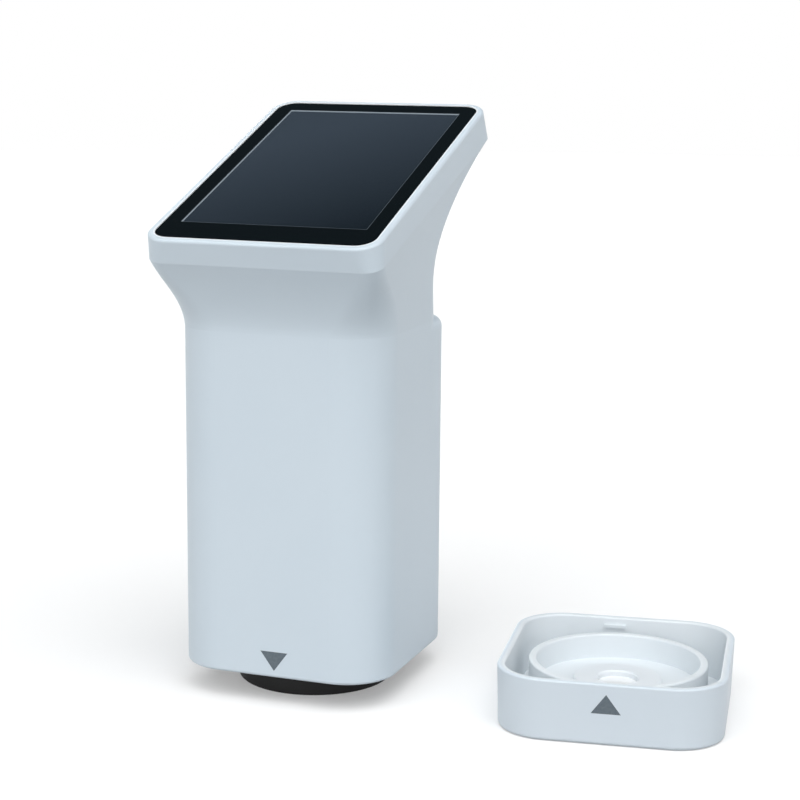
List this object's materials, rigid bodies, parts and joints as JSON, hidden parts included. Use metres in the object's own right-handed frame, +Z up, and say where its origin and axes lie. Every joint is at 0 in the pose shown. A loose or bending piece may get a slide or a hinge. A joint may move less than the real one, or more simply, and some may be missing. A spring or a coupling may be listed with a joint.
{
  "type": "handheld color meter",
  "caption": "Handheld color meter: tilted touch screen on a waisted neck and rounded square column, round measuring foot, rear button, and a calibration cap beside it.",
  "frame": {"origin": "centre of the sample port, on the bottom face of the measuring foot", "axes": "+Z up through the column, front and the low edge of the screen towards -Y, +X to the right seen from the front"},
  "size_m": [0.1443, 0.09, 0.15],
  "materials": {
    "pale_shell": "fine moulded texture, satin",
    "cap_shell": "fine moulded texture, satin",
    "cover_glass": "black-backed, gloss, oleophobic",
    "display": "dark display cell",
    "gasket": "adhesive foam",
    "black_ring": "black, low gloss",
    "sphere_white": "white diffuse reflector",
    "black_plastic": "moulded, black",
    "button": "soft satin",
    "screw_steel": "zinc plated",
    "sheet_metal": "sheet, fine grain",
    "usb_steel": "deep-drawn, nickel plated",
    "board_green": "glass-fibre board, solder mask",
    "chip_black": "epoxy package",
    "battery_foil": "wrapped cell",
    "lens_glass": "clear",
    "lamp_white": "phosphor lens",
    "ribbon": "flexible circuit",
    "tile_white": "glazed white ceramic tile",
    "tile_ring": "moulded, satin",
    "pad_foam": "soft foam"
  },
  "bodies": {
    "instrument": {"housing": "pale_shell", "rear_cover": "pale_shell", "cover_glass": "cover_glass", "glass_gasket": "gasket", "display_panel": "display", "display_bracket": "black_plastic", "main_board": "board_green", "board_chips": "chip_black", "buzzer": "black_plastic", "ribbon_cable": "ribbon", "control_board": "board_green", "button_switch": "black_plastic", "usb_socket": "usb_steel", "usb_tongue": "black_plastic", "base_plate": "black_plastic", "measuring_foot": "black_ring", "sphere_lower": "sphere_white", "sphere_upper": "sphere_white", "detector_tube": "black_plastic", "detector_lens": "lens_glass", "sensor_board": "board_green", "sensor_chip": "chip_black", "lamp_holder": "black_plastic", "lamp_board": "board_green", "lamps": "lamp_white", "chassis": "sheet_metal", "battery_tray": "black_plastic", "battery": "battery_foil", "base_screws": "screw_steel", "foot_screws": "screw_steel", "sphere_screws": "screw_steel", "chassis_screws": "screw_steel", "bracket_screws": "screw_steel", "board_screws": "screw_steel", "cover_screws": "screw_steel"},
    "button": {"measure_button": "button"},
    "cap": {"cap_shell": "cap_shell", "tile_pad": "pad_foam", "calibration_tile": "tile_white", "tile_ring": "tile_ring"}
  },
  "joints": [
    {"name": "button_press", "type": "slide", "parent": "instrument", "child": "button", "axis": [0, -1, 0], "range_m": [0, 0.0006], "stiffness_N_per_m": 1500, "springref_m": -0.0005},
    {"name": "cap_lift", "type": "slide", "parent": "instrument", "child": "cap", "axis": [0, 0, 1], "range_m": [0, 0.06]}
  ]
}
